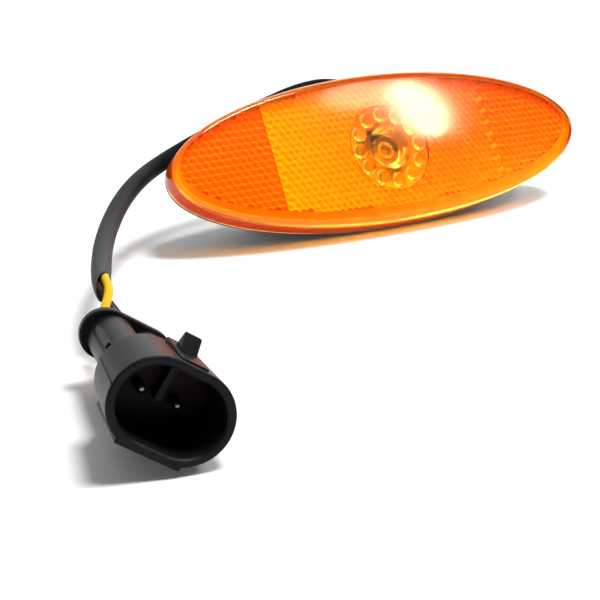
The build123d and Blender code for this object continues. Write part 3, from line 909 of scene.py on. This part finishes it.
CAMERA_AT = (-0.15497, -0.24293, 0.08267)
CAMERA_TOWARD = (0.4515, 0.8245, -0.3412)
CAMERA_ROLL = -0.0149
CAMERA_SENSOR = 36.0
CAMERA_LENS_PER_SENSOR = 2.0116
CAMERA_CLIP_START = 0.01

KEY_AT = (0.4, 0.5, 1.5)
KEY_TOWARD = (-0.25, 0.18, -0.94)
KEY_STRENGTH = 2.6
KEY_ANGLE = 0.28

# each panel's name, the spot of the lens it shines at, the way to it from there, width, height and power
PANELS = (
    ("softbox", (0.0098, -0.0037, 0.0265), (0.581, -0.430, 0.691), 0.085, 0.20, 1.9),
    ("side_panel", (-0.0039, -0.0005, 0.0311), (0.510, -0.394, 0.764), 0.15, 0.10, 0.42),
)
PANEL_DISTANCE = 0.9
PANEL_UPRIGHT = Vector((-0.25, 0.87, 0.60))

# the broad light of the sky falls off from its middle to a least value; a lobe lies low behind the lamp
SKY_MIDDLE = (-0.2, 0.72, 0.66)
SKY_GAIN, SKY_BASE, SKY_LEAST = 0.34, 0.08, 0.04
LOBE_MIDDLE = (0.63, 0.71, 0.31)
LOBE_POWER, LOBE_GAIN = 6.0, 1.8

FLOOR_HALF = 6.0
FLOOR_LIFT = 0.03


def aimed(place, toward):
    """Placement that looks along a direction with the horizon level."""
    return Matrix.Translation(place) @ Vector(toward).to_track_quat("-Z", "Y").to_matrix().to_4x4()


def add_light(name, kind, placement, energy):
    """A light of a kind, by its placement."""
    light = bpy.data.lights.new(name, kind)
    light.energy = energy
    lamp = bpy.data.objects.new(name, light)
    lamp.matrix_world = placement
    bpy.context.scene.collection.objects.link(lamp)
    return light


def add_panel(name, spot, toward, wide, tall, energy):
    """An oval soft panel that shines at a spot of the lens, its tall axis upright there."""
    toward = Vector(toward).normalized()
    across = PANEL_UPRIGHT.cross(toward).normalized()
    turn = Matrix((across, toward.cross(across), toward)).transposed()
    placement = Matrix.Translation(Vector(spot) + PANEL_DISTANCE * toward) @ turn.to_4x4()
    light = add_light(name, "AREA", placement, energy)
    light.shape, light.size, light.size_y = "ELLIPSE", wide, tall


def sky_strength(tree):
    """Light of the studio by direction: brightest behind and above the lamp, dim on the camera's side."""
    facing = tree.nodes.new("ShaderNodeTexCoord").outputs["Generated"]

    def toward(direction):
        node = tree.nodes.new("ShaderNodeVectorMath")
        node.operation = "DOT_PRODUCT"
        tree.links.new(facing, node.inputs[0])
        node.inputs[1].default_value = direction
        return node.outputs["Value"]

    broad = math_node(tree, "MULTIPLY_ADD", toward(SKY_MIDDLE), SKY_GAIN, SKY_BASE)
    broad = math_node(tree, "MAXIMUM", broad, SKY_LEAST)
    lobe = math_node(tree, "MAXIMUM", toward(LOBE_MIDDLE), 0.0)
    lobe = math_node(tree, "POWER", lobe, LOBE_POWER)
    return math_node(tree, "MULTIPLY_ADD", lobe, LOBE_GAIN, broad)


def floor_finish():
    """Pale floor: a matt surface that takes shadows, lifted a little for the rays that see it."""
    material, tree, shader, _ = new_material("studio_floor")
    shader.inputs["Base Color"].default_value = (*colours().floor, 1.0)
    shader.inputs["Roughness"].default_value = 0.9
    shader.inputs["Specular IOR Level"].default_value = 0.0
    path = tree.nodes.new("ShaderNodeLightPath")
    seen = math_node(tree, "MAXIMUM", path.outputs["Is Camera Ray"], path.outputs["Is Glossy Ray"])
    seen = math_node(tree, "MAXIMUM", seen, path.outputs["Is Transmission Ray"])
    lift = math_node(tree, "MULTIPLY", seen, FLOOR_LIFT)
    glow = tree.nodes.new("ShaderNodeEmission")
    tree.links.new(lift, glow.inputs["Strength"])
    both = tree.nodes.new("ShaderNodeAddShader")
    tree.links.new(shader.outputs["BSDF"], both.inputs[0])
    tree.links.new(glow.outputs["Emission"], both.inputs[1])
    tree.links.new(both.outputs["Shader"], tree.nodes["Material Output"].inputs["Surface"])
    return material


class LAMP_OT_stage(bpy.types.Operator):
    """Makes the floor, the lights and the camera"""

    bl_idname = "lamp.stage"
    bl_label = "Stage"

    def execute(self, context):
        scene = context.scene
        mesh = bpy.data.meshes.new("studio_floor")
        signs = ((-1, -1), (1, -1), (1, 1), (-1, 1))
        mesh.from_pydata([(FLOOR_HALF * x, FLOOR_HALF * y, 0) for x, y in signs], [], [(0, 1, 2, 3)])
        mesh.materials.append(floor_finish())
        floor = bpy.data.objects.new("studio_floor", mesh)
        scene.collection.objects.link(floor)

        add_light("key_sun", "SUN", aimed(KEY_AT, KEY_TOWARD), KEY_STRENGTH).angle = KEY_ANGLE
        for panel in PANELS:
            add_panel(*panel)

        world = bpy.data.worlds.new("studio")
        world.use_nodes = True
        tree = world.node_tree
        path = tree.nodes.new("ShaderNodeLightPath")
        seen = math_node(tree, "MAXIMUM", path.outputs["Is Camera Ray"], path.outputs["Is Transmission Ray"])
        strength = math_node(tree, "MAXIMUM", seen, sky_strength(tree))
        tree.links.new(strength, tree.nodes["Background"].inputs["Strength"])
        tree.nodes["Background"].inputs["Color"].default_value = (1, 1, 1, 1)
        scene.world = world

        view = bpy.data.cameras.new("camera")
        view.sensor_width = CAMERA_SENSOR
        view.lens = CAMERA_SENSOR * CAMERA_LENS_PER_SENSOR
        view.clip_start = CAMERA_CLIP_START
        camera = bpy.data.objects.new("camera", view)
        camera.matrix_world = aimed(CAMERA_AT, CAMERA_TOWARD) @ Matrix.Rotation(CAMERA_ROLL, 4, "Z")
        scene.collection.objects.link(camera)
        scene.camera = camera
        scene.view_settings.view_transform = "Standard"
        return {"FINISHED"}


STEPS = (LAMP_OT_lens, LAMP_OT_reflex, LAMP_OT_cord, LAMP_OT_fittings, LAMP_OT_connector, LAMP_OT_stage)


class LAMP_PT_panel(bpy.types.Panel):
    """Lists the steps that dress the lamp"""

    bl_idname = "LAMP_PT_panel"
    bl_label = "Side marker lamp"
    bl_space_type = "VIEW_3D"
    bl_region_type = "UI"
    bl_category = "Lamp"

    def draw(self, context):
        for step in STEPS:
            self.layout.operator(step.bl_idname)
        for group in (context.scene.lamp_sizes, context.scene.lamp_colours):
            for name in group.__annotations__:
                self.layout.prop(group, name)


CLASSES = (LampSizes, LampColours, *STEPS, LAMP_PT_panel)


def register():
    """Registers the classes and hangs the sizes and colours on the scene."""
    for cls in CLASSES:
        bpy.utils.register_class(cls)
    bpy.types.Scene.lamp_sizes = bpy.props.PointerProperty(type=LampSizes)
    bpy.types.Scene.lamp_colours = bpy.props.PointerProperty(type=LampColours)


def unregister():
    """Takes back what register did."""
    del bpy.types.Scene.lamp_colours
    del bpy.types.Scene.lamp_sizes
    for cls in reversed(CLASSES):
        bpy.utils.unregister_class(cls)


def main():
    """Registers the classes and dresses the lamp, one step after another."""
    register()
    bpy.ops.lamp.lens()
    bpy.ops.lamp.reflex()
    bpy.ops.lamp.cord()
    bpy.ops.lamp.fittings()
    bpy.ops.lamp.connector()
    bpy.ops.lamp.stage()


if __name__ == "__main__":
    main()
